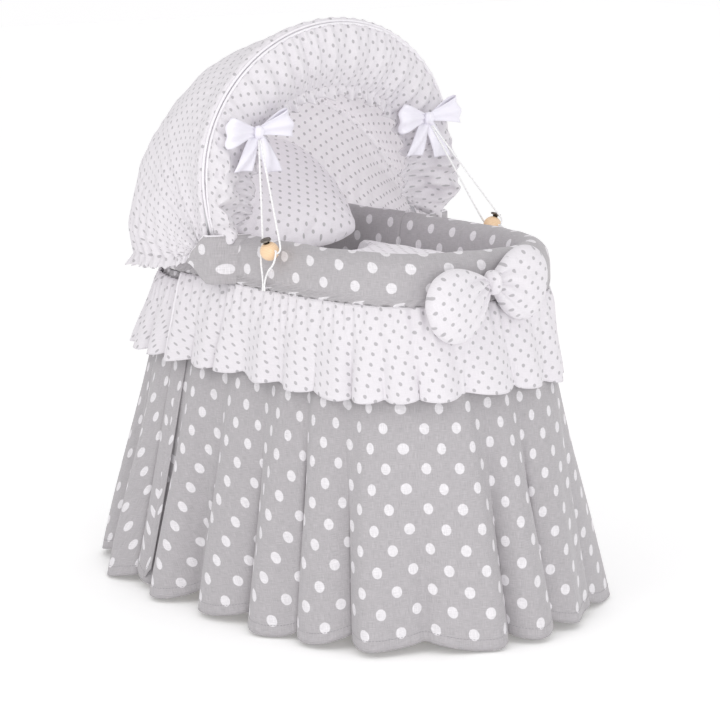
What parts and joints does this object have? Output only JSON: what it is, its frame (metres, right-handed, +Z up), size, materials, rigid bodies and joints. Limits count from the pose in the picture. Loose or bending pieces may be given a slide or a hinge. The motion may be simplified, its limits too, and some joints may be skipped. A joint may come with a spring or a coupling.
{
  "type": "bassinet on stand",
  "caption": "Oval baby bassinet with a folding cloth hood, padded liner, ruffle, floor-length skirt, pillow, quilt and stuffed bow, on a low wooden stand.",
  "frame": {"origin": "middle of the footprint, on the floor", "axes": "+X towards the foot end, +Y across to the right side seen from the head end looking at the foot, +Z up"},
  "size_m": [1.116, 0.772, 1.0792],
  "materials": {
    "wood": "clear satin lacquer",
    "bead": "satin lacquer",
    "wicker": "woven cane, matte",
    "glide": "matte",
    "mattress": "smooth cotton cover",
    "cloth_grey": "slubbed cotton, large near-white dots",
    "cloth_white": "slubbed cotton, small grey dots",
    "satin": "satin sheen",
    "piping": "plain cotton",
    "cord": "braided cord",
    "steel": "zinc plated",
    "cap": "dark satin plating"
  },
  "bodies": {
    "stand_and_basket": {"leg_head_left": "wood", "glide_head_left": "glide", "leg_head_right": "wood", "glide_head_right": "glide", "bearer_head": "wood", "low_rail_head": "wood", "leg_foot_left": "wood", "glide_foot_left": "glide", "leg_foot_right": "wood", "glide_foot_right": "glide", "bearer_foot": "wood", "low_rail_foot": "wood", "side_rail_left": "wood", "side_rail_right": "wood", "stretcher": "wood", "basket_tub": "wicker", "basket_braid": "wicker", "mattress": "mattress", "quilt": "cloth_white", "pillow": "cloth_white", "liner_foot": "cloth_grey", "skirt_foot": "cloth_grey", "ruffle_foot": "cloth_white", "liner_head": "cloth_grey", "skirt_head": "cloth_grey", "ruffle_head": "cloth_white", "bow_lobe_left": "cloth_white", "bow_lobe_right": "cloth_white", "bow_knot": "cloth_white", "hinge_block_left": "steel", "pivot_bolt_left": "steel", "hinge_block_right": "steel", "pivot_bolt_right": "steel", "hood_cord_left_a": "cord", "cord_tail_left_a": "cord", "hood_cord_left_b": "cord", "cord_tail_left_b": "cord", "hood_cord_right_a": "cord", "cord_tail_right_a": "cord", "hood_cord_right_b": "cord", "cord_tail_right_b": "cord"},
    "hood_front": {"hood_hoop_front": "steel", "hood_band": "cloth_white", "hood_piping": "piping", "satin_bow_left": "satin", "satin_bow_right": "satin", "hood_canopy": "cloth_white"},
    "hood_mid": {"hood_hoop_mid": "steel"},
    "cord_lock_left": {"cord_lock_ball_left": "bead", "cord_lock_spring_left": "cap"},
    "plunger_left": {"cord_lock_plunger_left": "cap"},
    "cord_lock_right": {"cord_lock_ball_right": "bead", "cord_lock_spring_right": "cap"},
    "plunger_right": {"cord_lock_plunger_right": "cap"}
  },
  "joints": [
    {"name": "hood_fold", "type": "hinge", "parent": "stand_and_basket", "child": "hood_front", "pos_m": [-0.079, 0, 0.645], "axis": [0, -1, 0], "range_deg": [0, 80], "deforming": ["hood_canopy", "hood_band", "hood_cord_left_a", "hood_cord_left_b", "hood_cord_right_a", "hood_cord_right_b"]},
    {"name": "hood_mid_fold", "type": "hinge", "parent": "stand_and_basket", "child": "hood_mid", "pos_m": [-0.079, 0, 0.645], "axis": [0, -1, 0], "range_deg": [0, 40]},
    {"name": "cord_lock_slide_left", "type": "slide", "parent": "stand_and_basket", "child": "cord_lock_left", "axis": [-0.4801, 0.2651, 0.8362], "range_m": [0, 0.08], "deforming": ["hood_cord_left_a", "hood_cord_left_b", "cord_tail_left_a", "cord_tail_left_b"]},
    {"name": "cord_lock_press_left", "type": "slide", "parent": "cord_lock_left", "child": "plunger_left", "axis": [0, 0.3907, -0.9205], "range_m": [0, 0.004], "stiffness_N_per_m": 300, "springref_m": -0.0005, "deforming": ["cord_lock_spring_left"]},
    {"name": "cord_lock_slide_right", "type": "slide", "parent": "stand_and_basket", "child": "cord_lock_right", "axis": [-0.4801, -0.2651, 0.8362], "range_m": [0, 0.08], "deforming": ["hood_cord_right_a", "hood_cord_right_b", "cord_tail_right_a", "cord_tail_right_b"]},
    {"name": "cord_lock_press_right", "type": "slide", "parent": "cord_lock_right", "child": "plunger_right", "axis": [0, -0.3907, -0.9205], "range_m": [0, 0.004], "stiffness_N_per_m": 300, "springref_m": -0.0005, "deforming": ["cord_lock_spring_right"]}
  ],
  "couplings": [
    {"joint": "hood_mid_fold", "follows": "hood_fold", "ratio": 0.5}
  ]
}
